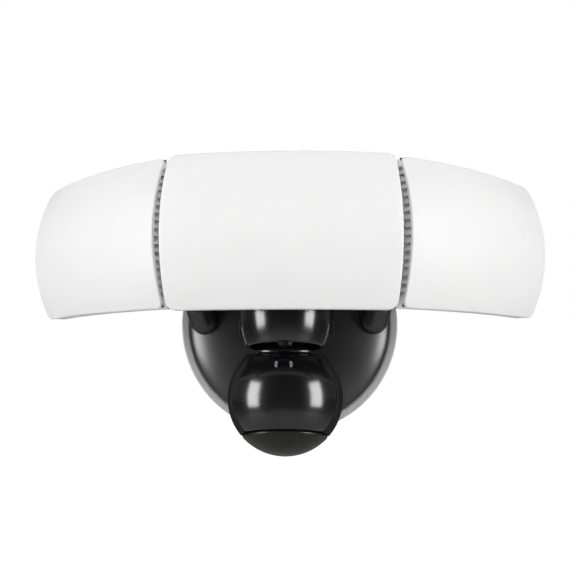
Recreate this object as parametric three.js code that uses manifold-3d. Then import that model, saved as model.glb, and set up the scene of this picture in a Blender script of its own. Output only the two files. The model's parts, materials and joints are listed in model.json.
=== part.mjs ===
// A wall-mounted floodlight with three wide opal light heads over a round camera unit.
// Millimetres. Origin at the middle of the wall face; the wall is at y = 0, the front is -Y, +Z is up.
import * as THREE from "three";
import { mergeVertices } from "three/addons/utils/BufferGeometryUtils.js";
import Module from "manifold-3d";

const wasm = await Module();
wasm.setup();

// ---- driving dimensions ----
const GAP = 0.35; // clearance between touching pieces

const HEAD = {
  halfWidth: 66.7, // at the top and bottom corners
  barrel: 3.2, // how far the ends bow out at mid-height
  halfHeight: 45.8,
  crownHeight: 10.9, // forward bulge from top to bottom
  crownWidth: 8.1, // forward bulge from end to end
  edgeBand: 0.055, // share of the half size that the rounded edge takes
  edgeRoll: 0.8, // how far the outline drops back at the rounded edge
  sheet: 1.8, // thickness of the diffuser
  wall: 2.2,
  sinkBack: 11, // depth of the heat sink's rear edge behind the front surface
  back: 20, // local y of the rear housing's flat back
  backInsetX: 24,
  backInsetZ: 16,
  pivotY: 34, // tilt axis behind the rim plane
  pivotZ: -12, // tilt axis below the head's middle
};
const CENTER_HEAD = { x: 0, y: -142, z: 44.8 };
const SIDE_HEAD = { x: 120, y: -85, z: 46.8, yaw: THREE.MathUtils.degToRad(42.6) };

const BASE = { gasketRadius: 78.9, gasket: 3, ringRadius: 79.7, ringFace: 9, canopyRadius: 74.1 };
const CANOPY = { edge: 11, face: 26, wall: 2.4, screwZ: 58 };

const ARM = {
  baseX: 62, // where the side arm's axis meets the canopy
  baseY: -22,
  baseZ: 5,
  lean: [0.22, -0.62, 0.75], // the root's axis: outwards, forwards, upwards
  bossRadius: 10.4,
  bossEnd: 11, // distances along the root's axis
  collarEnd: 21,
  elbow: 35,
  collarRadius: 11.2,
  ribs: 2,
  radius: 7.5,
};
const CLEVIS = { gap: 12.6, ear: 4, radius: 9, back: 17 };
const BOLT = { radius: 2.4, headRadius: 4.4, head: 2.2 };

const BALL = { y: -82.5, z: -52.4, radius: 36.9, wall: 2.2 };
const COVER = { plane: 16.3, tilt: THREE.MathUtils.degToRad(5), top: 28.6 };
const PIR = { drop: 25.1, slope: THREE.MathUtils.degToRad(11), wall: 1.6 };
const CAP_RADIUS = 34.6;
const NECK = {
  topRadius: 29.8,
  rimRadius: 24.6,
  top: 8,
  rim: -20.3,
  slope: THREE.MathUtils.degToRad(6.3),
  wall: 2.4,
};
const LENS = { y: -25, z: 20.5, radius: 8.6 };
const BARREL = { radius: 6.4, length: 6, flange: 1.4 };
const STEM_RADIUS = 5.5;
const YOKE = { half: 15, depth: 5, plate: 3, crossbar: 16, lowest: -5, discRadius: 16 };
const TILT_PIN = { radius: 1.9, innerX: 11, collarRadius: 4.5 };
const RESET = { radius: 2.4, z: 16, back: 25, end: 34.6 };

const CENTER_ARM = {
  half: 32,
  low: -10.5,
  top: 14.5,
  front: -60,
  back: -27.5,
  wall: 3.8,
  plateHalf: 14, // the plate that runs forward over the neck
  plateLow: 8.6,
  plateFront: -99,
};
const WIRE_HOLE = { radius: 9, z: 4 }; // from the canopy into the center arm
const BAR = {
  half: 52,
  halfHeight: 11,
  thick: 2.5,
  screwX: 42, // the junction box's screws, 84 mm apart
  screwRadius: 2.6,
  wireX: 20,
  wireRadius: 4,
};
const PLATE = { hole: 34, thick: 2.4 }; // the base ring's web
const SCREW = { radius: 1.9, under: 21.8, headRadius: 4.2, crownRadius: 3.2, head: 2.4, end: 6.6 };
const BOARD = { back: -8, front: -9.6, postRadius: 2, postInset: 3 };
const TERMINAL = { from: [-50, -17, 16], to: [-20, -6.1, 28], pitch: 10, holeRadius: 2.6, holeDepth: 7 };

// ---- materials ----
const finish = (color, roughness, metalness = 0) => () =>
  new THREE.MeshStandardMaterial({ color, roughness, metalness });
const opal = finish(0xf4f4f4, 0.45);
const sinkGrey = finish(0xc4c4c4, 0.55, 0.2);
const housingBlack = finish(0x1b1b1c, 0.5);
const glossBlack = finish(0x0c0c0d, 0.12);
const baseGrey = finish(0x9c9c9c, 0.6);
const foam = finish(0x6f6f6f, 0.95);
const steel = finish(0xb0b2b4, 0.35, 0.9);
const board = finish(0x1f5a35, 0.6);
const boardWhite = finish(0xe8e8e4, 0.5);
const rubber = finish(0x303030, 0.9);
const smoke = finish(0x3a3a32, 0.25);
const glass = finish(0x11131a, 0.05);
const cream = finish(0xd8d6cc, 0.6);

// ---- solids ----
const part = new THREE.Group();

function add(name, geometry, look, parent = part) {
  const mesh = new THREE.Mesh(geometry, look());
  mesh.name = name;
  parent.add(mesh);
  return mesh;
}

function solid(geometry) {
  const bare = geometry.clone();
  bare.deleteAttribute("normal");
  bare.deleteAttribute("uv");
  const merged = mergeVertices(bare, 1e-4);
  return new wasm.Manifold(
    new wasm.Mesh({
      numProp: 3,
      vertProperties: new Float32Array(merged.attributes.position.array),
      triVerts: new Uint32Array(merged.index.array),
    }),
  );
}

function geometry(made) {
  const mesh = made.getMesh();
  const out = new THREE.BufferGeometry();
  out.setAttribute("position", new THREE.BufferAttribute(mesh.vertProperties, 3));
  out.setIndex(new THREE.BufferAttribute(mesh.triVerts, 1));
  out.computeVertexNormals();
  return out;
}

// A block between two corners.
function block([x0, y0, z0], [x1, y1, z1]) {
  const box = new THREE.BoxGeometry(x1 - x0, y1 - y0, z1 - z0);
  return box.translate((x0 + x1) / 2, (y0 + y1) / 2, (z0 + z1) / 2);
}

// A round bar from point a to point b, with its own end radii.
function bar(a, b, radiusA, radiusB = radiusA, sides = 14) {
  const from = new THREE.Vector3(...a);
  const along = new THREE.Vector3(...b).sub(from);
  const up = new THREE.Vector3(0, 1, 0);
  const turn = new THREE.Quaternion().setFromUnitVectors(up, along.clone().normalize());
  return new THREE.CylinderGeometry(radiusB, radiusA, along.length(), sides)
    .translate(0, along.length() / 2, 0)
    .applyQuaternion(turn)
    .translate(...a);
}

// A turned body about the Z axis from [radius, height] points listed from bottom to top on the outside.
function turned(points, sides = 28) {
  const profile = points.map(([r, z]) => new THREE.Vector2(r, z));
  return new THREE.LatheGeometry(profile, sides).rotateX(Math.PI / 2);
}

// A turned body about the Y axis, its profile's height running towards the front.
function turnedToFront(points, sides = 30) {
  return turned(points, sides).rotateX(Math.PI / 2);
}

function arcPoints(radius, fromAngle, toAngle, steps, centerHeight = 0) {
  return Array.from({ length: steps + 1 }, (_, i) => {
    const angle = fromAngle + ((toAngle - fromAngle) * i) / steps;
    return [Math.max(0, radius * Math.cos(angle)), centerHeight + radius * Math.sin(angle)];
  });
}

function ball(radius, sides = 28, rings = 14) {
  const points = arcPoints(radius, -Math.PI / 2, Math.PI / 2, rings);
  points[0][0] = 0;
  points[rings][0] = 0;
  return turned(points, sides);
}

// ---- the light heads ----
const crown = (s, t) => HEAD.crownHeight * (1 - t * t) + HEAD.crownWidth * (1 - s * s);

// A slab shaped like the head's front: each layer is [inset x, inset z, y from (s, t)].
function headSlab(layers, round = false) {
  const columns = 6;
  const rows = 6;
  const last = layers.length - 1;
  const box = new THREE.BoxGeometry(2, last, 2, columns, last, rows);
  const at = box.attributes.position;
  const spread = (value, count) => {
    const inner = (1 - HEAD.edgeBand) / (1 - 2 / count);
    return Math.abs(value) > 1 - 1e-6 ? Math.sign(value) : value * inner;
  };
  for (let i = 0; i < at.count; i++) {
    const layer = Math.round(at.getY(i) + last / 2);
    const [insetX, insetZ, depth] = layers[layer];
    const s = spread(at.getX(i), columns);
    const t = spread(at.getZ(i), rows);
    const rim = Math.max(Math.abs(s), Math.abs(t)) > 1 - 1e-6;
    const x = s * (HEAD.halfWidth + HEAD.barrel * (1 - t * t) - insetX);
    const z = t * (HEAD.halfHeight - insetZ);
    const roll = round && layer === 0 && rim ? HEAD.edgeRoll : 0;
    const level = z / HEAD.halfHeight;
    const along = x / (HEAD.halfWidth + HEAD.barrel * (1 - level * level));
    at.setXYZ(i, x, depth(along, level) + roll, z);
  }
  return box;
}

const parallel = (depth) => (s, t) => depth - crown(s, t);
const flat = (y) => () => y;

function diffuser() {
  return geometry(solid(headSlab([[0, 0, parallel(0)], [0, 0, parallel(HEAD.sheet)]], true)));
}

// The cast tray that carries the LED board and draws its heat out through the end walls.
function heatSink() {
  const front = HEAD.sheet + 1;
  const outer = solid(headSlab([[0.2, 0.2, parallel(front)], [0.2, 0.2, parallel(HEAD.sinkBack)]]));
  const pocketFloor = HEAD.sinkBack - HEAD.wall;
  const pocket = solid(headSlab([[4.2, 4.2, parallel(0)], [4.2, 4.2, parallel(pocketFloor)]]));
  return geometry(outer.subtract(pocket));
}

function seal() {
  const depth = HEAD.sheet + GAP;
  const ring = solid(headSlab([[0.9, 0.9, parallel(depth)], [0.9, 0.9, parallel(depth + 0.3)]]));
  const hole = solid(headSlab([[4, 4, parallel(depth - 2)], [4, 4, parallel(depth + 3)]]));
  return geometry(ring.subtract(hole));
}

// The aluminium LED board with its rows of light packages.
function ledBoard() {
  const depth = HEAD.sinkBack - 4.8;
  let made = solid(headSlab([[5, 5, parallel(depth)], [5, 5, parallel(depth + 1.5)]]));
  for (const row of [-1, 0, 1]) {
    const z = row * 24;
    const y = parallel(depth)(0, z / HEAD.halfHeight);
    made = made.add(solid(block([-24, y - 0.8, z - 2.5], [24, y + 1, z + 2.5])));
  }
  return geometry(made);
}

function rearHousing() {
  const front = HEAD.sinkBack + GAP;
  const middle = (s, t) => 13 - 0.45 * crown(s, t);
  const outer = solid(
    headSlab([
      [1, 1, parallel(front)],
      [4, 3.5, middle],
      [HEAD.backInsetX, HEAD.backInsetZ, flat(HEAD.back)],
    ]),
  );
  const inner = solid(
    headSlab([
      [3.6, 3.6, parallel(front - 2)],
      [6.5, 6, (s, t) => middle(s, t) - 1.2],
      [HEAD.backInsetX + 3, HEAD.backInsetZ + 3, flat(HEAD.back - HEAD.wall)],
    ]),
  );
  return geometry(outer.subtract(inner));
}

// The lug on the housing's back that the tilt bolt passes through.
function knuckle() {
  const { pivotY: y, pivotZ: z, back } = HEAD;
  const half = CLEVIS.gap / 2 - GAP;
  const flange = back + GAP;
  return geometry(
    solid(bar([-half, y, z], [half, y, z], CLEVIS.radius - 0.5))
      .add(solid(block([-half, flange + 1, z - 6], [half, y, z + 6])))
      .add(solid(block([-17, flange, z - 11], [17, flange + 3, z + 11])))
      .subtract(solid(bar([-30, y, z], [30, y, z], BOLT.radius + GAP))),
  );
}

function tiltBolt() {
  const { pivotY: y, pivotZ: z } = HEAD;
  const half = CLEVIS.gap / 2 + CLEVIS.ear + GAP;
  const headEnd = half + BOLT.head;
  return geometry(
    solid(bar([-headEnd, y, z], [headEnd, y, z], BOLT.radius))
      .add(solid(bar([half, y, z], [headEnd, y, z], BOLT.headRadius)))
      .add(solid(bar([-headEnd, y, z], [-half, y, z], BOLT.headRadius, BOLT.headRadius, 6))),
  );
}

// The two ears that hold the knuckle, in the head's own frame, as a solid.
function clevis() {
  const { pivotY: y, pivotZ: z } = HEAD;
  const half = CLEVIS.gap / 2 + CLEVIS.ear;
  return solid(bar([-half, y, z], [half, y, z], CLEVIS.radius)).add(
    solid(block([-half, y, z - CLEVIS.radius], [half, y + CLEVIS.back, z + CLEVIS.radius])),
  );
}

// What the clevis and its arm leave free for the knuckle and the bolt.
function clevisCut() {
  const { pivotY: y, pivotZ: z } = HEAD;
  const half = CLEVIS.gap / 2;
  const reach = CLEVIS.radius + 1.2;
  return solid(block([-half, y - 30, z - 24], [half, y, z + 24]))
    .add(solid(bar([-half, y, z], [half, y, z], reach)))
    .add(solid(bar([-60, y, z], [60, y, z], BOLT.radius + GAP)));
}

function headPieces(side, place) {
  const group = new THREE.Group();
  group.position.set(place.x, place.y, place.z);
  group.rotation.z = place.turn;
  part.add(group);
  add(`${side}_diffuser`, diffuser(), opal, group);
  add(`${side}_led_board`, ledBoard(), boardWhite, group);
  add(`${side}_lens_seal`, seal(), rubber, group);
  add(`${side}_heat_sink`, heatSink(), sinkGrey, group);
  add(`${side}_rear_housing`, rearHousing(), housingBlack, group);
  add(`${side}_head_knuckle`, knuckle(), housingBlack, group);
  add(`${side}_tilt_bolt`, tiltBolt(), steel, group);
  group.updateMatrixWorld(true);
  return group.matrixWorld;
}

const sideTurn = { left: -SIDE_HEAD.yaw, right: SIDE_HEAD.yaw };
const sideSign = { left: -1, right: 1 };
const places = {
  center: headPieces("center", { ...CENTER_HEAD, turn: 0 }),
};
for (const side of ["left", "right"]) {
  places[side] = headPieces(side, { ...SIDE_HEAD, x: sideSign[side] * SIDE_HEAD.x, turn: sideTurn[side] });
}

// A solid made in a head's own frame, moved to where that head is.
function atHead(made, side) {
  return made.transform(places[side].elements);
}

// ---- the side arms and their lock rings ----
function armLine(side) {
  const sign = sideSign[side];
  const base = new THREE.Vector3(sign * ARM.baseX, ARM.baseY, ARM.baseZ);
  const along = new THREE.Vector3(sign * ARM.lean[0], ARM.lean[1], ARM.lean[2]).normalize();
  const hold = new THREE.Vector3(0, HEAD.pivotY + CLEVIS.back - 4, HEAD.pivotZ).applyMatrix4(places[side]);
  const at = (distance) => base.clone().addScaledVector(along, distance).toArray();
  return { at, hold: hold.toArray() };
}

function sideArm(side) {
  const line = armLine(side);
  const elbow = line.at(ARM.elbow);
  const made = solid(bar(line.at(ARM.bossEnd - 9), elbow, ARM.radius))
    .add(solid(ball(ARM.radius, 18, 10)).translate(...elbow))
    .add(solid(bar(elbow, line.hold, ARM.radius)))
    .add(atHead(clevis(), side))
    .subtract(atHead(clevisCut(), side));
  return geometry(made);
}

function lockRing(side) {
  const line = armLine(side);
  const from = ARM.bossEnd + GAP;
  const step = (ARM.collarEnd - from) / ARM.ribs;
  const { collarRadius } = ARM;
  let made = solid(bar(line.at(from), line.at(ARM.collarEnd), collarRadius - 1.2, collarRadius - 2.6, 16));
  for (let i = 0; i < ARM.ribs; i++) {
    const low = from + (i + 0.25) * step;
    const high = from + (i + 0.75) * step;
    const radius = collarRadius - 0.3 * i;
    made = made.add(solid(bar(line.at(low), line.at(high), radius, radius - 0.3, 16)));
  }
  return geometry(made.subtract(solid(bar(line.at(-5), line.at(60), ARM.radius + GAP))));
}

for (const side of ["left", "right"]) {
  add(`${side}_arm`, sideArm(side), housingBlack);
  add(`${side}_lock_ring`, lockRing(side), housingBlack);
}

// ---- the wall base ----
function wallGasket() {
  const inner = BASE.gasketRadius - 12;
  return turnedToFront([
    [inner, 0],
    [BASE.gasketRadius, 0],
    [BASE.gasketRadius, BASE.gasket],
    [inner, BASE.gasket],
    [inner, 0],
  ]);
}

function baseRing() {
  const back = BASE.gasket + GAP;
  const web = back + PLATE.thick;
  const inside = BASE.canopyRadius - 3.2;
  return turnedToFront([
    [PLATE.hole, back],
    [BASE.ringRadius, back],
    [BASE.ringRadius, BASE.ringFace - 1],
    [BASE.ringRadius - 1, BASE.ringFace],
    [inside, BASE.ringFace],
    [inside, web],
    [PLATE.hole, web],
    [PLATE.hole, back],
  ]);
}

// The steel bar that screws to the junction box.
function mountingBar() {
  const { half, halfHeight, thick, screwX, screwRadius, wireX, wireRadius } = BAR;
  const hole = (x, radius) => solid(bar([x, -5, 0], [x, 5, 0], radius, radius, 16));
  let made = solid(block([-half, -thick, -halfHeight], [half, 0, halfHeight]));
  for (const sign of [-1, 1]) {
    made = made.subtract(hole(sign * screwX, screwRadius)).subtract(hole(sign * wireX, wireRadius));
  }
  return geometry(made);
}

function canopyProfile(offset) {
  const radius = BASE.canopyRadius - offset;
  const face = CANOPY.face - offset;
  const back = BASE.ringFace + GAP - 2 * offset;
  const steps = 4;
  const dome = Array.from({ length: steps + 1 }, (_, i) => {
    const turn = (i / steps) * (Math.PI / 2);
    return [radius * Math.cos(turn), CANOPY.edge + (face - CANOPY.edge) * Math.sin(turn)];
  });
  dome[steps][0] = 0;
  return [[0, back], [radius, back], ...dome];
}

function canopy() {
  let made = solid(turnedToFront(canopyProfile(0)));
  for (const side of ["left", "right"]) {
    const line = armLine(side);
    made = made.add(solid(bar(line.at(-16), line.at(ARM.bossEnd), ARM.bossRadius, ARM.bossRadius, 18)));
  }
  made = made.subtract(solid(turnedToFront(canopyProfile(CANOPY.wall))));
  made = made.subtract(solid(block([-200, -BASE.ringFace - GAP, -200], [200, 50, 200])));
  for (const side of ["left", "right"]) {
    const line = armLine(side);
    const socket = solid(bar(line.at(ARM.bossEnd - 9 - GAP), line.at(40), ARM.radius + GAP));
    const wireWay = solid(bar(line.at(-20), line.at(40), 4));
    made = made.subtract(socket).subtract(wireWay);
  }
  for (const z of [-CANOPY.screwZ, CANOPY.screwZ]) {
    made = made.subtract(solid(bar([0, 0, z], [0, -60, z], SCREW.radius + GAP, SCREW.radius + GAP, 12)));
  }
  return geometry(made.subtract(solid(bar([0, 0, WIRE_HOLE.z], [0, -60, WIRE_HOLE.z], WIRE_HOLE.radius))));
}

function canopyScrew(sign) {
  const z = sign * CANOPY.screwZ;
  const under = [0, -SCREW.under, z];
  const top = [0, -SCREW.under - SCREW.head, z];
  const shank = solid(bar([0, -SCREW.end, z], under, SCREW.radius, SCREW.radius, 12));
  return geometry(shank.add(solid(bar(under, top, SCREW.headRadius, SCREW.crownRadius, 20))));
}

// A circuit board on four posts, with blocks for the parts on it.
function boardOnPosts(low, high, blocks) {
  const { back, front, postRadius, postInset } = BOARD;
  const postEnd = -(BASE.gasket + GAP + PLATE.thick + GAP);
  const rooted = front + 0.5;
  let made = solid(block([low[0], front, low[1]], [high[0], back, high[1]]));
  for (const x of [low[0] + postInset, high[0] - postInset]) {
    for (const z of [low[1] + postInset, high[1] - postInset]) {
      made = made.add(solid(bar([x, rooted, z], [x, postEnd, z], postRadius, postRadius, 8)));
    }
  }
  for (const [x0, z0, x1, z1, height] of blocks) {
    made = made.add(solid(block([x0, front - height, z0], [x1, rooted, z1])));
  }
  return geometry(made);
}

function driverBoard() {
  const transformer = [-30, -38, -8, -20, 8];
  const capacitor = [4, -34, 14, -24, 7];
  const heatTab = [22, -36, 38, -22, 5];
  return boardOnPosts([-44, -41], [44, -16], [transformer, capacitor, heatTab]);
}

function controlBoard() {
  const radioModule = [18, 18, 34, 30, 2.5];
  return boardOnPosts([13, 14], [48, 40], [radioModule]);
}

function terminalBlock() {
  const { from, to, pitch, holeRadius, holeDepth } = TERMINAL;
  const z = (from[2] + to[2]) / 2;
  let made = solid(block(from, to));
  for (let x = from[0] + pitch / 2; x < to[0]; x += pitch) {
    const mouth = [x, from[1] - 1, z];
    made = made.subtract(solid(bar(mouth, [x, from[1] + holeDepth, z], holeRadius, holeRadius, 10)));
  }
  return geometry(made);
}

add("wall_gasket", wallGasket(), foam);
add("base_ring", baseRing(), baseGrey);
add("mounting_bar", mountingBar(), steel);
add("canopy", canopy(), glossBlack);

// ---- the center arm and the neck ----
const neckAt = new THREE.Matrix4().makeTranslation(0, BALL.y, 0);

// The neck's outline, grown by an offset, as points from its rim up and over its closed top.
function neckOutline(offset) {
  const { topRadius, rimRadius, top, rim } = NECK;
  const low = rim - 6;
  const side = Array.from({ length: 6 }, (_, i) => {
    const share = i / 5;
    const radius = rimRadius - 1.6 + (topRadius - rimRadius + 1.6) * Math.sin((share * Math.PI) / 2);
    return [radius + offset, low + (top - 2 - low) * share];
  });
  return [[0, low], ...side, [topRadius - 2 + offset, top + offset], [0, top + offset]];
}

function neckBowl() {
  const { rim, slope, wall, top } = NECK;
  const rimPlane = new THREE.BoxGeometry(120, 120, 40).translate(0, 0, -20);
  const below = solid(rimPlane.rotateX(-slope).translate(0, 0, rim));
  const hollow = solid(turned(neckOutline(-wall))).subtract(
    solid(block([-60, -60, top - 2 * wall], [60, 60, 60])),
  );
  const made = solid(turned(neckOutline(0)))
    .subtract(hollow)
    .subtract(below)
    .subtract(solid(bar([0, 0, -5], [0, 0, 30], STEM_RADIUS + GAP)));
  return geometry(made.transform(neckAt.elements));
}

function centerArm() {
  const { half, low, top, front, back, wall, plateHalf, plateLow, plateFront } = CENTER_ARM;
  const pivotY = CENTER_HEAD.y + HEAD.pivotY;
  const pivotZ = CENTER_HEAD.z + HEAD.pivotZ;
  const post = CLEVIS.gap / 2 + CLEVIS.ear;
  const clear = solid(turned(neckOutline(GAP))).transform(neckAt.elements);
  const inside = solid(block([-half + wall, -52, low + wall], [half - wall, back + wall, top - wall]));
  const nutRoom = solid(bar([0, BALL.y, 0], [0, BALL.y, 24], 9));
  return geometry(
    solid(block([-half, front, low], [half, back, top]))
      .add(solid(block([-plateHalf, plateFront, plateLow], [plateHalf, front + 2, top])))
      .add(solid(block([-post, pivotY + 6, top - 2], [post, pivotY + CLEVIS.back, pivotZ])))
      .add(atHead(clevis(), "center"))
      .subtract(atHead(clevisCut(), "center"))
      .subtract(clear)
      .subtract(inside)
      .subtract(nutRoom),
  );
}

add("driver_board", driverBoard(), board);
add("control_board", controlBoard(), board);
add("terminal_block", terminalBlock(), cream);
add("neck_bowl", neckBowl(), glossBlack);
add("center_arm", centerArm(), glossBlack);
for (const [name, sign] of [["upper", 1], ["lower", -1]]) {
  add(`canopy_screw_${name}`, canopyScrew(sign), steel);
}

// ---- the camera unit, made about the ball's middle ----
const camera = new THREE.Group();
camera.position.set(0, BALL.y, BALL.z);
part.add(camera);

const sphere = (radius) => solid(ball(radius));
const shell = (radius, wall) => sphere(radius).subtract(solid(ball(radius - wall, 18, 10)));

// Everything in front of the cover's joint line, moved back by an offset.
function frontOf(offset) {
  const half = new THREE.BoxGeometry(100, 60, 100).translate(0, -30 - COVER.plane + offset, 0);
  return solid(half.rotateX(-COVER.tilt));
}

// Everything below the motion sensor's joint line, moved up by an offset.
function belowPir(offset) {
  const half = new THREE.BoxGeometry(100, 100, 60).translate(0, 0, -30 + offset);
  return solid(half.rotateX(-PIR.slope).translate(0, 0, -PIR.drop));
}

const above = (z) => solid(block([-60, -60, z], [60, 60, 60]));

// The slot that lets the yoke's stem pass while the ball tilts.
function stemSlot() {
  const half = STEM_RADIUS + 1.2;
  return solid(block([-half, -13, 10], [half, 25, 60]));
}

function lensBall(radius) {
  return solid(ball(radius, 18, 10)).translate(0, LENS.y, LENS.z);
}

function frontCover() {
  return geometry(
    shell(BALL.radius, BALL.wall)
      .intersect(frontOf(-GAP))
      .subtract(above(COVER.top))
      .subtract(belowPir(GAP))
      .subtract(lensBall(LENS.radius + GAP)),
  );
}

function rearShell() {
  const trunnion = solid(bar([-60, 0, 0], [60, 0, 0], TILT_PIN.radius + GAP));
  const button = solid(bar([0, 20, RESET.z], [0, 60, RESET.z], RESET.radius + 0.5));
  return geometry(
    shell(BALL.radius, BALL.wall)
      .subtract(frontOf(0))
      .subtract(above(COVER.top))
      .subtract(belowPir(GAP))
      .subtract(trunnion)
      .subtract(stemSlot())
      .subtract(button),
  );
}

function topCap() {
  return geometry(shell(CAP_RADIUS, 2).intersect(above(COVER.top + GAP)).subtract(stemSlot()));
}

function pirLens() {
  return geometry(shell(BALL.radius, PIR.wall).intersect(belowPir(-GAP)));
}

function cameraLens() {
  const room = solid(block([-20, -60, -20], [20, LENS.y - 1, 60]));
  return geometry(lensBall(LENS.radius).intersect(room));
}

function lensBarrel() {
  const { y, z } = LENS;
  const end = y + BARREL.length;
  const tube = solid(bar([0, y - 0.6, z], [0, end, z], BARREL.radius));
  const flange = solid(block([-8, end, z - 8], [8, end + BARREL.flange, z + 5]));
  return geometry(tube.add(flange));
}

// The fork that hangs in the ball and carries the tilt screws.
function cameraYoke() {
  const { half, depth, plate, crossbar, lowest, discRadius } = YOKE;
  const discZ = NECK.rim - BALL.z + 18;
  const roof = NECK.top - 2 * NECK.wall - BALL.z;
  let made = solid(bar([0, 0, crossbar], [0, 0, roof + 12], STEM_RADIUS))
    .add(solid(bar([0, 0, discZ], [0, 0, roof - GAP], discRadius, discRadius, 28)))
    .add(solid(block([-half, -depth, crossbar - plate], [half, depth, crossbar])));
  for (const side of [-1, 1]) {
    const x = side * (half - plate / 2);
    made = made.add(solid(block([x - plate / 2, -depth, lowest], [x + plate / 2, depth, crossbar])));
  }
  return geometry(made.subtract(solid(bar([-30, 0, 0], [30, 0, 0], TILT_PIN.radius + GAP))));
}

function panNut() {
  const roof = NECK.top - BALL.z;
  const nut = solid(bar([0, 0, roof + GAP], [0, 0, roof + 3.4], 8, 8, 6));
  return geometry(nut.subtract(solid(bar([0, 0, roof - 5], [0, 0, roof + 20], STEM_RADIUS + GAP))));
}

// A pin that runs in the yoke's ear and is fixed in the shell.
function tiltPin(sign) {
  const { radius, innerX, collarRadius } = TILT_PIN;
  const along = (distance) => [sign * distance, 0, 0];
  const shellFace = BALL.radius - BALL.wall - 1.2;
  const collar = solid(bar(along(YOKE.half + GAP), along(shellFace), collarRadius));
  return geometry(solid(bar(along(innerX), along(BALL.radius - 0.6), radius)).add(collar));
}

add("camera_front_cover", frontCover(), glossBlack, camera);
add("camera_rear_shell", rearShell(), glossBlack, camera);
add("camera_top_cap", topCap(), housingBlack, camera);
add("motion_sensor_lens", pirLens(), smoke, camera);
add("camera_lens", cameraLens(), glass, camera);
add("lens_barrel", lensBarrel(), housingBlack, camera);
add("camera_yoke", cameraYoke(), housingBlack, camera);
add("pan_nut", panNut(), steel, camera);
for (const [side, sign] of [["left", -1], ["right", 1]]) {
  add(`tilt_pin_${side}`, tiltPin(sign), steel, camera);
}
add("camera_board", block([-20, -24, -14], [20, -22.4, 9]), board, camera);
add("motion_sensor_board", block([-12, -14, -20], [12, 8, -18.4]), board, camera);
add("speaker", bar([0, 17, -4], [0, 27, -4], 11, 12, 20), housingBlack, camera);
const resetKey = bar([0, RESET.back, RESET.z], [0, RESET.end, RESET.z], RESET.radius, RESET.radius, 16);
add("reset_button", resetKey, cream, camera);

export default part;
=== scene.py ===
import json
import math
import bmesh
import bpy
from mathutils import Matrix, Vector


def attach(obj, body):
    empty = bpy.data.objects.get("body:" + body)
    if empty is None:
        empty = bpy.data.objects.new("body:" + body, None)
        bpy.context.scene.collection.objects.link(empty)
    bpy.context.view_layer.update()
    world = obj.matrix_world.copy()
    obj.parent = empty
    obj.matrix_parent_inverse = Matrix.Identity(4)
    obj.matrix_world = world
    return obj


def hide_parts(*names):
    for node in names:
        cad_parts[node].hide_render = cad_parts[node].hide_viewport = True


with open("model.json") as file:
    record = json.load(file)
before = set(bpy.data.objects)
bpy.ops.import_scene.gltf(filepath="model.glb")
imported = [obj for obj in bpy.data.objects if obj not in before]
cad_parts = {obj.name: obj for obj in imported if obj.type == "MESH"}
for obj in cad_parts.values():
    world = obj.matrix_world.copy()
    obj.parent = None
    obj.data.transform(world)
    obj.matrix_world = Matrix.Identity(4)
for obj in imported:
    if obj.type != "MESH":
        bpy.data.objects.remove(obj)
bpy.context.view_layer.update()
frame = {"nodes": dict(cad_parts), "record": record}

MM = 0.001
GAP = 0.35
JOINTS = {joint["name"]: joint for joint in frame["record"]["behaviour"]["joints"]}
SLOTS = {row["node"]: row["material_slot"] for row in frame["record"]["subparts"]}
SIDES = ("left", "center", "right")
SIGN = {"left": -1, "right": 1}


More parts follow.
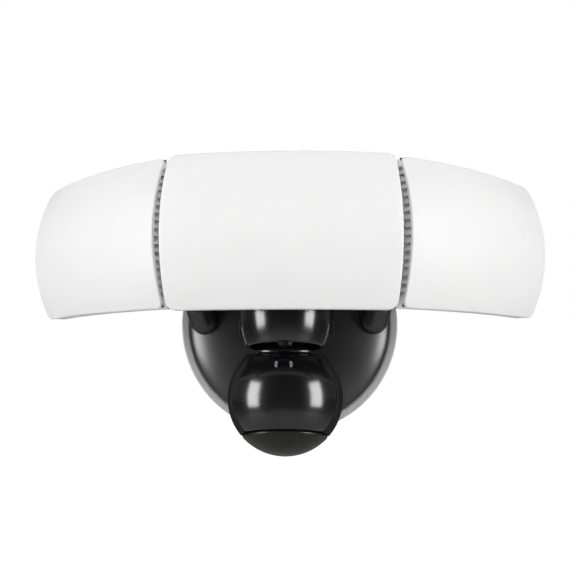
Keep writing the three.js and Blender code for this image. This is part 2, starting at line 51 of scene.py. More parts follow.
# ---------------------------------------------------------------- materials
class Look:
    """A node material under construction, with helpers for what every finish needs."""

    def __init__(self, name, roughness, metallic=0.0, specular=0.5, coat=0.0, coat_roughness=0.03):
        self.material = bpy.data.materials.new(name)
        self.material.use_nodes = True
        self.tree = self.material.node_tree
        self.shader = self.tree.nodes["Principled BSDF"]
        self.place = self.tree.nodes.new("ShaderNodeTexCoord").outputs["Object"]
        self.set("Roughness", roughness)
        self.set("Metallic", metallic)
        self.set("Specular IOR Level", specular)
        self.set("Coat Weight", coat)
        self.set("Coat Roughness", coat_roughness)

    def set(self, socket, value):
        self.shader.inputs[socket].default_value = value

    def link(self, source, target):
        self.tree.links.new(source, target)

    def noise(self, size_mm, detail=3.0, stretch=(1, 1, 1)):
        mapping = self.tree.nodes.new("ShaderNodeMapping")
        mapping.inputs["Scale"].default_value = stretch
        self.link(self.place, mapping.inputs["Vector"])
        noise = self.tree.nodes.new("ShaderNodeTexNoise")
        noise.inputs["Scale"].default_value = 1.0 / (size_mm * MM)
        noise.inputs["Detail"].default_value = detail
        self.link(mapping.outputs["Vector"], noise.inputs["Vector"])
        return noise.outputs["Fac"]

    def ramp(self, factor, stops):
        ramp = self.tree.nodes.new("ShaderNodeValToRGB")
        band = ramp.color_ramp
        while len(band.elements) < len(stops):
            band.elements.new(0.5)
        for element, (position, colour) in zip(band.elements, stops):
            element.position = position
            element.color = (*colour, 1.0)
        self.link(factor, ramp.inputs["Fac"])
        return ramp.outputs["Color"]

    def varied(self, colour, spread, size_mm, detail=3.0):
        """A colour that wanders a little between a darker and a lighter shade of itself."""
        dark, light = [tuple(c * (1 + sign * spread) for c in colour) for sign in (-1, 1)]
        return self.ramp(self.noise(size_mm, detail), [(0.3, dark), (0.7, light)])

    def uneven_gloss(self, size_mm, low, high, stretch=(1, 1, 1)):
        scale = self.tree.nodes.new("ShaderNodeMapRange")
        for socket, value in (("From Min", 0.3), ("From Max", 0.7), ("To Min", low), ("To Max", high)):
            scale.inputs[socket].default_value = value
        self.link(self.noise(size_mm, 3.0, stretch), scale.inputs["Value"])
        self.link(scale.outputs["Result"], self.shader.inputs["Roughness"])

    def worn(self, colour, bare, low=0.51, high=0.57):
        """The colour, with bare mixed in along sharp convex edges."""
        geometry = self.tree.nodes.new("ShaderNodeNewGeometry")
        mask = self.ramp(geometry.outputs["Pointiness"], [(low, (0, 0, 0)), (high, (1, 1, 1))])
        mix = self.tree.nodes.new("ShaderNodeMix")
        mix.data_type = "RGBA"
        self.link(mask, mix.inputs[0])
        self.link(colour, mix.inputs[6])
        mix.inputs[7].default_value = (*bare, 1.0)
        return mix.outputs[2]

    def colour(self, source):
        self.link(source, self.shader.inputs["Base Color"])

    def bump(self, factor, depth_mm):
        bump = self.tree.nodes.new("ShaderNodeBump")
        bump.inputs["Distance"].default_value = depth_mm * MM
        self.link(factor, bump.inputs["Height"])
        self.link(bump.outputs["Normal"], self.shader.inputs["Normal"])

    def milky(self, weight, radius_mm):
        self.set("Subsurface Weight", weight)
        self.set("Subsurface Radius", (radius_mm * MM,) * 3)
        self.set("Subsurface Scale", 1.0)


def opal_plastic():
    look = Look("opal_acrylic", roughness=0.46, specular=0.15)
    look.milky(0.35, 6.0)
    look.colour(look.varied((0.865, 0.865, 0.862), 0.008, 26.0))
    look.uneven_gloss(7.0, 0.42, 0.5)
    look.bump(look.noise(0.9, 2.0), 0.012)
    return look.material


def powder_coat():
    look = Look("powder_coat_grey", roughness=0.5)
    look.colour(look.worn(look.varied((0.84, 0.84, 0.84), 0.03, 3.0), (0.88, 0.88, 0.88)))
    look.bump(look.noise(0.7, 4.0), 0.05)
    return look.material


def black_plastic(name, colour, bare, roughness, grain_mm, grain_depth, patch_mm=8.0, **gloss):
    """A black moulding. roughness is (low, high), and bare is the colour of its rubbed edges."""
    look = Look(name, roughness=roughness[0], **gloss)
    look.colour(look.worn(look.varied(colour, 0.22, patch_mm), bare))
    look.uneven_gloss(patch_mm, *roughness)
    look.bump(look.noise(grain_mm, 3.0), grain_depth)
    return look.material


def ring_plastic():
    look = Look("satin_grey_plastic", roughness=0.45)
    look.colour(look.worn(look.varied((0.43, 0.43, 0.43), 0.04, 5.0), (0.5, 0.5, 0.5)))
    look.uneven_gloss(6.0, 0.4, 0.52)
    look.bump(look.noise(0.8, 3.0), 0.02)
    return look.material


def foam():
    look = Look("closed_cell_foam", roughness=0.95, specular=0.2)
    look.colour(look.varied((0.16, 0.16, 0.16), 0.25, 1.2, 4.0))
    look.bump(look.noise(0.9, 4.0), 0.18)
    return look.material


def zinc():
    look = Look("zinc_plated_steel", roughness=0.32, metallic=1.0)
    look.colour(look.varied((0.60, 0.60, 0.61), 0.12, 5.0))
    look.uneven_gloss(1.4, 0.24, 0.42, stretch=(0.08, 1, 1))
    look.bump(look.noise(1.4, 4.0, stretch=(0.08, 1, 1)), 0.008)
    return look.material


def solder_mask():
    look = Look("green_solder_mask", roughness=0.4)
    tracks = look.noise(2.2, 1.0, stretch=(1, 0.2, 3))
    look.colour(look.ramp(tracks, [(0.47, (0.012, 0.085, 0.035)), (0.53, (0.03, 0.15, 0.06))]))
    look.bump(tracks, 0.03)
    return look.material


def white_board():
    look = Look("white_led_board", roughness=0.45)
    look.colour(look.varied((0.78, 0.78, 0.74), 0.04, 4.0))
    look.bump(look.noise(1.5, 2.0), 0.02)
    return look.material


def rubber():
    look = Look("seal_rubber", roughness=0.85, specular=0.25)
    look.colour(look.varied((0.03, 0.03, 0.03), 0.3, 2.0))
    look.bump(look.noise(0.8, 3.0), 0.04)
    return look.material


def smoked_lens():
    look = Look("smoked_sensor_lens", roughness=0.3, specular=0.25)
    look.milky(0.2, 4.0)
    look.colour(look.varied((0.0085, 0.0095, 0.0062), 0.1, 12.0))
    look.uneven_gloss(12.0, 0.28, 0.34)
    look.bump(look.noise(1.1, 2.0), 0.012)
    return look.material


def coated_glass():
    look = Look("coated_lens_glass", roughness=0.1, specular=0.14)
    layer = look.tree.nodes.new("ShaderNodeLayerWeight")
    layer.inputs["Blend"].default_value = 0.35
    # Base colour painted a touch lighter and bluer towards the rim as seen: a painted sheen of the coating's
    # reflection.
    facing, edge = (0.003, 0.003, 0.004), (0.004, 0.004, 0.006)
    look.colour(look.ramp(layer.outputs["Facing"], [(0.0, facing), (0.8, edge)]))
    look.bump(look.noise(20.0, 1.0), 0.002)
    return look.material


def button_plastic():
    look = Look("button_grey", roughness=0.5)
    look.colour(look.worn(look.varied((0.42, 0.41, 0.38), 0.05, 3.0), (0.5, 0.49, 0.46)))
    look.bump(look.noise(0.5, 2.0), 0.02)
    return look.material


MATERIALS = {
    "opal_lens": opal_plastic(),
    "heat_sink_grey": powder_coat(),
    "housing_black": black_plastic(
        "textured_black_plastic", (0.0105, 0.0105, 0.011), (0.03, 0.03, 0.031), (0.36, 0.5),
        grain_mm=0.45, grain_depth=0.03, specular=0.4
    ),
    "gloss_black": black_plastic(
        "piano_black_plastic", (0.0055, 0.0055, 0.0057), (0.013, 0.013, 0.0135), (0.16, 0.2),
        grain_mm=14.0, grain_depth=0.006, patch_mm=20.0, specular=0.05, coat=1.0, coat_roughness=0.19
    ),
    "base_grey": ring_plastic(),
    "foam_grey": foam(),
    "steel": zinc(),
    "led_board": white_board(),
    "circuit_board": solder_mask(),
    "seal_rubber": rubber(),
    "smoke_lens": smoked_lens(),
    "lens_glass": coated_glass(),
    "button_grey": button_plastic(),
}
SATIN_BLACK = black_plastic(
    "satin_black_plastic", (0.008, 0.008, 0.0083), (0.014, 0.014, 0.0145), (0.31, 0.35),
    grain_mm=0.8, grain_depth=0.006, patch_mm=40.0, specular=0.65
)
MATTE_BLACK = black_plastic(
    "matte_black_plastic", (0.0065, 0.0065, 0.0067), (0.02, 0.02, 0.0205), (0.55, 0.62),
    grain_mm=0.5, grain_depth=0.02, specular=0.1
)


# ---------------------------------------------------------------- mesh tools
def make(name, points, faces, place=Matrix(), smooth_angle=35):
    """A closed mesh from points in millimetres in a local frame, placed in the row frame."""
    mesh = bpy.data.meshes.new(name)
    mesh.from_pydata([place @ (Vector(p) * MM) for p in points], [], faces)
    work = bmesh.new()
    work.from_mesh(mesh)
    bmesh.ops.remove_doubles(work, verts=work.verts, dist=2e-7)
    bmesh.ops.recalc_face_normals(work, faces=work.faces)
    work.to_mesh(mesh)
    work.free()
    piece = bpy.data.objects.new(name, mesh)
    bpy.context.scene.collection.objects.link(piece)
    smooth(piece, smooth_angle)
    return piece


def smooth(piece, angle):
    piece.data.polygons.foreach_set("use_smooth", [True] * len(piece.data.polygons))
    piece.data.set_sharp_from_angle(angle=math.radians(angle))


def apply_modifiers(piece):
    bpy.context.view_layer.update()
    graph = bpy.context.evaluated_depsgraph_get()
    mesh = bpy.data.meshes.new_from_object(piece.evaluated_get(graph))
    piece.modifiers.clear()
    piece.data = mesh


def boolean(piece, operation, tools, smooth_angle=35):
    """Joins to, or cuts from, a piece. The tools are used up. The meshes are in millimetres meanwhile."""
    for solid in (piece, *tools):
        solid.data.transform(Matrix.Scale(1 / MM, 4))
    for tool in tools:
        modifier = piece.modifiers.new("solid", "BOOLEAN")
        modifier.operation = operation
        modifier.solver = "EXACT"
        modifier.object = tool
    apply_modifiers(piece)
    piece.data.transform(Matrix.Scale(MM, 4))
    for tool in tools:
        bpy.data.objects.remove(tool)
    smooth(piece, smooth_angle)
    return piece


def soften(piece, width_mm, segments=3, angle=38, smooth_angle=35):
    """Rounds the sharp edges of a piece."""
    bevel = piece.modifiers.new("edges", "BEVEL")
    bevel.width = width_mm * MM
    bevel.segments = segments
    bevel.limit_method = "ANGLE"
    bevel.angle_limit = math.radians(angle)
    apply_modifiers(piece)
    smooth(piece, smooth_angle)
    return piece


def softened_copy(node, name, width_mm):
    """The CAD solid's shape as a new piece, with its flat faces whole and its edges rounded."""
    work = bmesh.new()
    work.from_mesh(frame["nodes"][node].data)
    bmesh.ops.remove_doubles(work, verts=work.verts, dist=1e-6)
    bmesh.ops.dissolve_limit(
        work, angle_limit=math.radians(1), use_dissolve_boundaries=False, verts=work.verts, edges=work.edges
    )
    mesh = bpy.data.meshes.new(name)
    work.to_mesh(mesh)
    work.free()
    piece = bpy.data.objects.new(name, mesh)
    bpy.context.scene.collection.objects.link(piece)
    return soften(piece, width_mm)


def settle(piece, body, slot, nodes=(), material=None):
    """Gives a piece its finish and its body, and hides the CAD nodes that it stands for."""
    piece.data.materials.clear()
    piece.data.materials.append(material or MATERIALS[slot])
    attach(piece, body)
    if nodes:
        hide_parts(*nodes)
    return piece


def loft(rings, loop=False, capped=True):
    """Points and faces of a skin over rings of equal length. loop joins the last ring to the first."""
    count = len(rings[0])
    points = [p for ring in rings for p in ring]
    faces = []
    for i in range(len(rings) if loop else len(rings) - 1):
        low = i * count
        high = ((i + 1) % len(rings)) * count
        for k in range(count):
            n = (k + 1) % count
            faces.append((low + k, low + n, high + n, high + k))
    if capped and not loop:
        for start, ring in ((0, rings[0]), ((len(rings) - 1) * count, rings[-1])):
            hub = len(points)
            points.append(tuple(sum(p[axis] for p in ring) / count for axis in range(3)))
            faces += [(start + k, start + (k + 1) % count, hub) for k in range(count)]
    return points, faces


def sheet(outer, inner):
    """Points and faces of a closed sheet between two grids of equal size."""
    rows, columns = len(outer), len(outer[0])
    points = [p for grid in (outer, inner) for row in grid for p in row]
    faces = []
    for base in (0, rows * columns):
        for i in range(rows - 1):
            for k in range(columns - 1):
                corner = base + i * columns + k
                faces.append((corner, corner + 1, corner + columns + 1, corner + columns))
    border = list(range(columns)) + [i * columns + columns - 1 for i in range(1, rows)]
    border += [(rows - 1) * columns + k for k in range(columns - 2, -1, -1)]
    border += [i * columns for i in range(rows - 2, 0, -1)]
    for start, end in zip(border, border[1:] + border[:1]):
        faces.append((start, end, end + rows * columns, start + rows * columns))
    return points, faces


def circle(radius, height, count):
    return [
        (radius * math.cos(2 * math.pi * k / count), radius * math.sin(2 * math.pi * k / count), height)
        for k in range(count)
    ]


def lathe(profile, count=96, loop=False):
    """A turned body about local Z from (radius, height) points."""
    return loft([circle(max(r, 0.01), z, count) for r, z in profile], loop=loop)


def arc(x, y, radius, start, turn, steps=5):
    """Points of an arc with its centre at (x, y). Angles are in degrees."""
    angles = [math.radians(start + turn * i / steps) for i in range(steps + 1)]
    return [(x + radius * math.cos(a), y + radius * math.sin(a)) for a in angles]


def frame_at(origin, axis, side=(1, 0, 0)):
    """A frame at origin, in millimetres, whose Z runs along axis and whose X is nearest to side."""
    z = Vector(axis).normalized()
    x = Vector(side)
    x = (x - z * x.dot(z)).normalized()
    turn = Matrix((x, z.cross(x), z)).transposed().to_4x4()
    return Matrix.Translation(Vector(origin) * MM) @ turn


def box_piece(name, low, high, place=Matrix()):
    corners = [(x, y, z) for x in (low[0], high[0]) for y in (low[1], high[1]) for z in (low[2], high[2])]
    faces = [(0, 1, 3, 2), (4, 6, 7, 5), (0, 4, 5, 1), (2, 3, 7, 6), (0, 2, 6, 4), (1, 5, 7, 3)]
    return make(name, corners, faces, place)


def rod(name, radius, low, high, place=Matrix(), count=32):
    return make(name, *lathe([(radius, low), (radius, high)], count), place=place)


TO_FRONT = Matrix.Rotation(math.radians(90), 4, "X")  # local Z becomes the front, -Y

# ---------------------------------------------------------------- the light heads
HALF_WIDTH = 66.4
BARREL = 3.2  # how far the ends bow out
HALF_HEIGHT = 45.8
CROWN_HEIGHT = 10.9
CROWN_WIDTH = 8.1
EDGE_RADIUS = 0.9
CORNER = 4.8
SHEET = 1.3
SINK = {"front": 1.5, "back": 11.0, "inset": 0.45, "wall": 3.4, "edge": 0.3}
SLOT = {"count": 17, "pitch": 4.7, "height": 2.4, "front": 2.3, "back": 9.9}
BAFFLE = {"clear": 0.1, "thick": 0.8}
HOUSING_FRONT = 11.35
HOUSING_BACK = 20.0
HOUSING_INSET = (24.0, 16.0)
PIVOT = (0, 34, -12)
CLEVIS = {"gap": 12.6, "ear": 4.0, "radius": 9.0, "back": 17.0, "clear": 10.2}
BOLT = {"radius": 2.4, "head_radius": 4.4, "head": 2.2}


def head_frame(side):
    """The head's own frame, from its tilt joint."""
    joint = JOINTS[side + "_head_tilt"]
    axis = Vector(joint["axis"])
    turn = Matrix.Rotation(math.atan2(axis.y, axis.x), 4, "Z")
    return Matrix.Translation(Vector(joint["pos_m"])) @ turn @ Matrix.Translation(-Vector(PIVOT) * MM)


def bow(z):
    return BARREL * (1 - (z / HALF_HEIGHT) ** 2)


def crown(x, z):
    t = min(1.0, abs(z / HALF_HEIGHT))
    s = min(1.0, abs(x / (HALF_WIDTH + bow(z))))
    return CROWN_HEIGHT * (1 - t * t) + CROWN_WIDTH * (1 - s * s)


def rounded_rectangle(half_x, half_z, corner, long_steps=18, short_steps=14, corner_steps=7):
    """Outline points of a rectangle with round corners, starting at the bottom of its right side."""
    x, z = half_x - corner, half_z - corner
    points = []
    sides = (
        ((half_x, -z), (half_x, z), short_steps, (x, z), 0),
        ((x, half_z), (-x, half_z), long_steps, (-x, z), 90),
        ((-half_x, z), (-half_x, -z), short_steps, (-x, -z), 180),
        ((-x, -half_z), (x, -half_z), long_steps, (x, -z), 270),
    )
    for (x0, z0), (x1, z1), steps, centre, angle in sides:
        points += [(x0 + (x1 - x0) * i / steps, z0 + (z1 - z0) * i / steps) for i in range(steps)]
        points += arc(*centre, corner, angle, 90, corner_steps)[:-1]
    return points


def head_outline(inset, scale=1.0):
    """The head's outline with its bowed ends, pulled in by inset."""
    plain = rounded_rectangle(HALF_WIDTH - inset, HALF_HEIGHT - inset, max(CORNER - inset, 0.5))
    return [((x + x / HALF_WIDTH * bow(z)) * scale, z * scale) for x, z in plain]


def surface(outline, depth):
    return [(x, depth - crown(x, z), z) for x, z in outline]


def diffuser(side):
    """The opal cover: a crowned sheet with a rounded edge."""
    shares = [i / 12 for i in range(1, 13)]
    rings = [surface(head_outline(EDGE_RADIUS, scale=s), 0) for s in shares]
    for inset, depth in arc(EDGE_RADIUS, EDGE_RADIUS, EDGE_RADIUS, 270, -90, 7)[1:]:
        rings.append(surface(head_outline(inset), depth))
    rings.append(surface(head_outline(0), SHEET - 0.3))
    rings += [surface(head_outline(0.3, scale=s), SHEET) for s in reversed(shares)]
    return make(side + "_diffuser_moulding", *loft(rings), place=head_frame(side))


def slotted_outline(inset):
    """The outline with points at the slots' edges, and the spans of it that are slots."""
    tall = HALF_HEIGHT - CORNER - 0.01
    ends = [p for p in head_outline(inset) if abs(p[1]) > tall]
    upper = [p for p in ends if p[1] > 0]
    lower = [p for p in ends if p[1] < 0]
    lower = lower[1:] + lower[:1]
    edges = []
    for i in range(SLOT["count"]):
        middle = (i - (SLOT["count"] - 1) / 2) * SLOT["pitch"]
        edges += [middle - SLOT["height"] / 2, middle + SLOT["height"] / 2]
    outline = []
    slots = []
    for sign, levels, corners in ((1, edges, upper), (-1, edges[::-1], lower)):
        for k, z in enumerate(levels):
            if k % 2 == 0:
                slots.append(len(outline))
            outline.append((sign * (HALF_WIDTH - inset) * (1 + bow(z) / HALF_WIDTH), z))
        outline += corners
    return outline, slots


def heat_sink(side):
    """The cast frame between the cover and the housing, with a row of slots in each end."""
    front, back, edge = SINK["front"], SINK["back"], SINK["edge"]
    outline, slots = slotted_outline(SINK["inset"])
    eased, _ = slotted_outline(SINK["inset"] + edge)
    inner, _ = slotted_outline(SINK["inset"] + SINK["wall"])
    rings = [surface(inner, front), surface(eased, front)]
    rings += [surface(outline, d) for d in (front + edge, SLOT["front"], SLOT["back"], back - edge)]
    rings += [surface(eased, back), surface(inner, back)]
    rings += [surface(inner, d) for d in (SLOT["back"], SLOT["front"])]
    points, faces = loft(rings, loop=True)
    count = len(outline)
    outside, inside = 3, 8  # the strips of skin between the slots' front and back edges
    faces = [f for i, f in enumerate(faces) if not (i // count in (outside, inside) and i % count in slots)]
    for k in slots:
        outer_mouth, inner_mouth = (
            (near * count + k, near * count + k + 1, far * count + k + 1, far * count + k)
            for near, far in ((outside, outside + 1), (inside + 1, inside))
        )
        for a in range(4):
            b = (a + 1) % 4
            faces.append((outer_mouth[a], outer_mouth[b], inner_mouth[b], inner_mouth[a]))
    return make(side + "_heat_sink_casting", points, faces, head_frame(side), smooth_angle=30)


def baffle(side):
    """The strip inside the sink's wall that keeps the light from leaking out of the slots."""
    inset = SINK["inset"] + SINK["wall"] + BAFFLE["clear"]
    front, back = SINK["front"] + 0.3, SINK["back"] - 0.4
    rings = [surface(head_outline(inset), d) for d in (front, back)]
    rings += [surface(head_outline(inset + BAFFLE["thick"]), d) for d in (back, front)]
    return make(side + "_light_baffle", *loft(rings, loop=True), place=head_frame(side))


def rear_housing(side):
    """The black back shell, drawn in to a back panel with a shallow tray."""
    front = head_outline(1.0)
    back = rounded_rectangle(HALF_WIDTH - HOUSING_INSET[0], HALF_HEIGHT - HOUSING_INSET[1], 9.0)
    shares = [0, 0.02, 0.06, 0.12, 0.2, 0.3, 0.42, 0.55, 0.7, 0.84, 0.94, 1]
    rings = [[(x * 0.9, HOUSING_FRONT + 2 - crown(x * 0.9, z * 0.9), z * 0.9) for x, z in front]]
    for share in shares:
        rise = math.sin(share * math.pi / 2) ** 0.6
        ring = []
        for (x0, z0), (x1, z1) in zip(front, back):
            start = HOUSING_FRONT - crown(x0, z0)
            y = start + (HOUSING_BACK - start) * rise
            ring.append((x0 + (x1 - x0) * share, y, z0 + (z1 - z0) * share))
        rings.append(ring)
    rings.append([(x * 0.955, HOUSING_BACK, z * 0.94) for x, z in back])
    rings.append([(x * 0.945, HOUSING_BACK - 0.8, z * 0.925) for x, z in back])
    rings += [[(x * s, HOUSING_BACK - 0.8, z * s) for x, z in back] for s in (0.6, 0.3)]
    return make(side + "_rear_housing_shell", *loft(rings), place=head_frame(side))


def screw(name, place, head_radius, head, shank_radius, shank):
    """A round-headed screw with a cross recess. Local Z runs out of the head."""
    turns = [math.radians(a) for a in range(0, 90, 10)]
    profile = [(shank_radius, -shank), (shank_radius, 0), (head_radius - 0.2, 0)]
    profile += [(head_radius * math.cos(a), head * math.sin(a)) for a in turns] + [(0, head)]
    piece = make(name, *lathe(profile, 40), place=place)
    arm, half = head_radius * 0.55, head_radius * 0.13
    cross = [box_piece("cross", (-arm, -half, head * 0.35), (arm, half, head + 1), place)]
    cross.append(box_piece("cross", (-half, -arm, head * 0.35), (half, arm, head + 1), place))
    return boolean(piece, "DIFFERENCE", cross)


def housing_screws(side):
    for x in (-36, 36):
        for z in (-22, 22):
            place = head_frame(side) @ frame_at((x, HOUSING_BACK - 0.8, z), (0, 1, 0))
            level = "upper" if z > 0 else "lower"
            end = "left" if x < 0 else "right"
            name = f"{side}_housing_screw_{level}_{end}"
            settle(screw(name, place, 2.2, 0.75, 1.2, 3), side + "_head", "steel")


def plate(name, outline, half, place, edge=0.8):
    """A flat plate from an outline in the local Y-Z plane, half as thick on each side of x = 0."""
    rings = []
    for x, shrink in ((-half, edge), (-half + edge, 0), (half - edge, 0), (half, edge)):
        middle = [sum(p[i] for p in outline) / len(outline) for i in (0, 1)]
        ring = []
        for y, z in outline:
            away = math.hypot(y - middle[0], z - middle[1])
            share = (away - shrink) / away
            ring.append((x, middle[0] + (y - middle[0]) * share, middle[1] + (z - middle[1]) * share))
        rings.append(ring)
    return make(name, *loft(rings), place=place)


def clevis(side, body, slot, node):
    """Two ears round the tilt bolt and the block that joins them, in the head's own frame."""
    _, y, z = PIVOT
    radius, back = CLEVIS["radius"], CLEVIS["back"]
    outline = arc(y, z, radius, 90, 180, 18) + [(y + back - 2, z - radius), (y + back, z - radius + 2)]
    outline += [(y + back, z + radius - 2), (y + back - 2, z + radius)]
    for end, sign in SIGN.items():
        offset = sign * (CLEVIS["gap"] / 2 + CLEVIS["ear"] / 2)
        place = head_frame(side) @ Matrix.Translation((offset * MM, 0, 0))
        ear = plate(f"{side}_clevis_ear_{end}", outline, CLEVIS["ear"] / 2, place)
        bore = frame_at((0, y, z), (1, 0, 0), (0, 0, 1))
        hole = rod("hole", BOLT["radius"] + GAP, -5, 5, place @ bore)
        settle(boolean(ear, "DIFFERENCE", [hole]), body, slot, [node])
    half = CLEVIS["gap"] / 2 + 0.5
    low, high = (-half, y + CLEVIS["clear"], z - radius + 1), (half, y + back - 0.4, z + radius - 1)
    block = box_piece(side + "_clevis_block", low, high, head_frame(side))
    settle(soften(block, 1.0), body, slot, [node])


def tilt_bolt(side, body):
    """A hex-headed bolt through the clevis, with its nut."""
    _, y, z = PIVOT
    half = CLEVIS["gap"] / 2 + CLEVIS["ear"] + GAP
    place = head_frame(side) @ frame_at((0, y, z), (1, 0, 0), (0, 0, 1))
    radius, head_radius, head = BOLT["radius"], BOLT["head_radius"], BOLT["head"]
    profile = [(radius - 0.3, -half - head), (radius, -half - head + 0.3), (radius, half + 0.5)]
    shank = make(side + "_tilt_bolt_shank", *lathe(profile, 32), place=place)
    settle(shank, body, "steel", [side + "_tilt_bolt"])
    for name, low, high in (("head", half, half + head), ("nut", -half - head + 0.6, -half)):
        rings = [circle(head_radius - 0.5, low, 6), circle(head_radius, low + 0.4, 6)]
        rings += [circle(head_radius, high - 0.4, 6), circle(head_radius - 0.5, high, 6)]
        hexagon = make(f"{side}_tilt_bolt_{name}", *loft(rings), place=place, smooth_angle=20)
        settle(soften(hexagon, 0.2, 2), body, "steel", [side + "_tilt_bolt"])


for side in SIDES:
    body = side + "_head"
    settle(diffuser(side), body, "opal_lens", [side + "_diffuser"])
    settle(heat_sink(side), body, "heat_sink_grey", [side + "_heat_sink"])
    settle(baffle(side), body, "heat_sink_grey")
    settle(rear_housing(side), body, "housing_black", [side + "_rear_housing"])
    housing_screws(side)
    knuckle = softened_copy(side + "_head_knuckle", side + "_head_knuckle_moulding", 0.9)
    settle(knuckle, body, "housing_black", [side + "_head_knuckle"])
    tilt_bolt(side, "base" if side == "center" else side + "_arm_assembly")

# ---------------------------------------------------------------- the side arms
ARM = {"radius": 7.5, "start": 2.0, "elbow": 35.0, "boss_radius": 10.4, "boss_end": 11.0}
COLLAR = {"start": 11.35, "end": 21.0, "radius": 11.2, "ribs": 4}


def arm_frame(side):
    """A frame on the arm's root with Z along it."""
    joint = JOINTS[side + "_lock_ring_turn"]
    return frame_at(Vector(joint["pos_m"]) / MM, joint["axis"])


def tube(name, path, radius, count=36, place=Matrix()):
    """A round tube along a path, closed with rounded ends."""
    spine = [Vector(p) for p in path]
    rings = []
    side = Vector((1, 0, 0))
    for i, point in enumerate(spine):
        ahead = (spine[min(i + 1, len(spine) - 1)] - spine[max(i - 1, 0)]).normalized()
        side = (side - ahead * side.dot(ahead)).normalized()
        other = ahead.cross(side)
        ends = i in (0, len(spine) - 1)
        size = radius - 0.8 if ends else radius
        rings.append([tuple(point + side * x + other * y) for x, y, _ in circle(size, 0, count)])
    return make(name, *loft(rings), place=place)


def arm_path(side):
    root = arm_frame(side)
    start = root @ Vector((0, 0, ARM["start"] * MM)) / MM
    elbow = root @ Vector((0, 0, ARM["elbow"] * MM)) / MM
    hold = head_frame(side) @ (Vector((0, PIVOT[1] + CLEVIS["back"] - 2, PIVOT[2])) * MM) / MM
    inward = (start - elbow).normalized()
    outward = (hold - elbow).normalized()
    reach = min(11.0, (hold - elbow).length * 0.8)
    path = [start, start - inward * 0.8]
    for i in range(1, 9):
        path.append(start.lerp(elbow + inward * reach, i / 9))
    for i in range(13):
        t = i / 12
        near = (elbow + inward * reach).lerp(elbow, t)
        far = elbow.lerp(elbow + outward * reach, t)
        path.append(near.lerp(far, t))
    path += [hold - outward * 0.8, hold]
    return path


def lock_ring(side):
    """The ribbed collar, turned about the arm."""
    inner = ARM["radius"] + GAP
    start, end, radius = COLLAR["start"], COLLAR["end"], COLLAR["radius"]
    profile = [(inner, start), (radius - 0.9, start)]
    profile += [(radius - 0.4, start + 0.5), (radius - 0.4, start + 1.6)]
    pitch = (end - 0.6 - start - 1.8) / COLLAR["ribs"]
    for i in range(COLLAR["ribs"]):
        low = start + 1.8 + i * pitch
        size = radius - 0.35 * i
        profile += [(size - 1.1, low + 0.1), (size - 0.9, low + 0.45)]
        profile += [(size - 0.25, low + 0.6), (size, low + 0.95)]
        profile += [(size - 0.15, low + 1.35), (size - 1.0, low + 1.6)]
    profile += [(radius - 2.8, end - 0.3), (radius - 3.4, end), (inner, end)]
    points, faces = lathe(profile, 96, loop=True)
    return make(side + "_lock_ring_moulding", points, faces, arm_frame(side), smooth_angle=50)


def boss(side):
    """The socket that stands on the canopy: a round foot that turns up towards the arm."""
    root, radius, end = arm_frame(side), ARM["boss_radius"], ARM["boss_end"]
    outer = [(radius, -4), (radius, end - 0.8)] + arc(radius - 0.8, end - 0.8, 0.8, 0, 90, 4)[1:]
    piece = make(side + "_arm_boss", *lathe(outer, 72), place=root)
    knee = root @ Vector((0, 0, -4 * MM)) / MM
    foot = [(radius + 0.3, -12)] + arc(0, 0, radius + 0.3, 0, 90, 10)
    knuckle = make("foot", *lathe(foot, 72), place=frame_at(knee, (0, -1, 0)))
    boolean(piece, "UNION", [knuckle])
    socket = rod("socket", ARM["radius"] + GAP, ARM["start"] - GAP, 40, root, 48)
    wires = rod("wires", 4.4, -12, 40, root)
    return boolean(piece, "DIFFERENCE", [socket, wires])


for side in ("left", "right"):
    body = side + "_arm_assembly"
    arm = tube(side + "_arm_tube", arm_path(side), ARM["radius"])
    settle(arm, body, "housing_black", [side + "_arm"])
    clevis(side, body, "housing_black", side + "_arm")
    settle(lock_ring(side), side + "_lock_ring_body", "housing_black", [side + "_lock_ring"], SATIN_BLACK)
    settle(boss(side), "base", "gloss_black", ["canopy"], SATIN_BLACK)

# ---------------------------------------------------------------- the wall base
RING = {"radius": 79.7, "back": 3.35, "face": 9.0, "web": 5.75, "hole": 34.0}
GASKET = {"radius": 78.9, "inner": 66.9, "thick": 3.0}
CANOPY = {"radius": 74.1, "back": 9.35, "edge": 11.0, "face": 26.0, "wall": 2.4}
CANOPY_SCREW = {"z": 58.0, "under": -21.8, "head_radius": 4.2, "head": 2.2, "radius": 1.9, "shank": 17}


def base_ring():
    radius, face = RING["radius"], RING["face"]
    inside = CANOPY["radius"] - 3.2
    profile = [(RING["hole"], RING["back"]), (radius - 0.4, RING["back"]), (radius, RING["back"] + 0.4)]
    profile += [(radius, face - 1.3)] + arc(radius - 1.3, face - 1.3, 1.3, 0, 90, 5)[1:]
    profile += [(CANOPY["radius"] + 1.0, face), (CANOPY["radius"] + 0.7, face - 0.5)]
    profile += [(CANOPY["radius"] - 0.4, face - 0.5), (CANOPY["radius"] - 0.8, face), (inside, face)]
    profile += [(inside, RING["web"]), (RING["hole"], RING["web"])]
    return make("base_ring_moulding", *lathe(profile, 144, loop=True), place=TO_FRONT)


def wall_gasket():
    low, high = GASKET["inner"], GASKET["radius"]
    thick = GASKET["thick"]
    profile = [(low, 0.4), (low + 0.4, 0), (high - 0.4, 0), (high, 0.6), (high + 0.12, thick / 2)]
    profile += [(high, thick - 0.6), (high - 0.4, thick), (low + 0.4, thick), (low, thick - 0.4)]
    return make("wall_gasket_foam", *lathe(profile, 120, loop=True), place=TO_FRONT)


def dome(offset, steps):
    """The canopy's profile from its rim to its middle, pulled in by offset."""
    radius = CANOPY["radius"] - offset
    rise = CANOPY["face"] - CANOPY["edge"]
    turns = [math.pi / 2 * i / steps for i in range(steps + 1)]
    return [(radius * math.cos(a), CANOPY["edge"] - offset + rise * math.sin(a)) for a in turns]


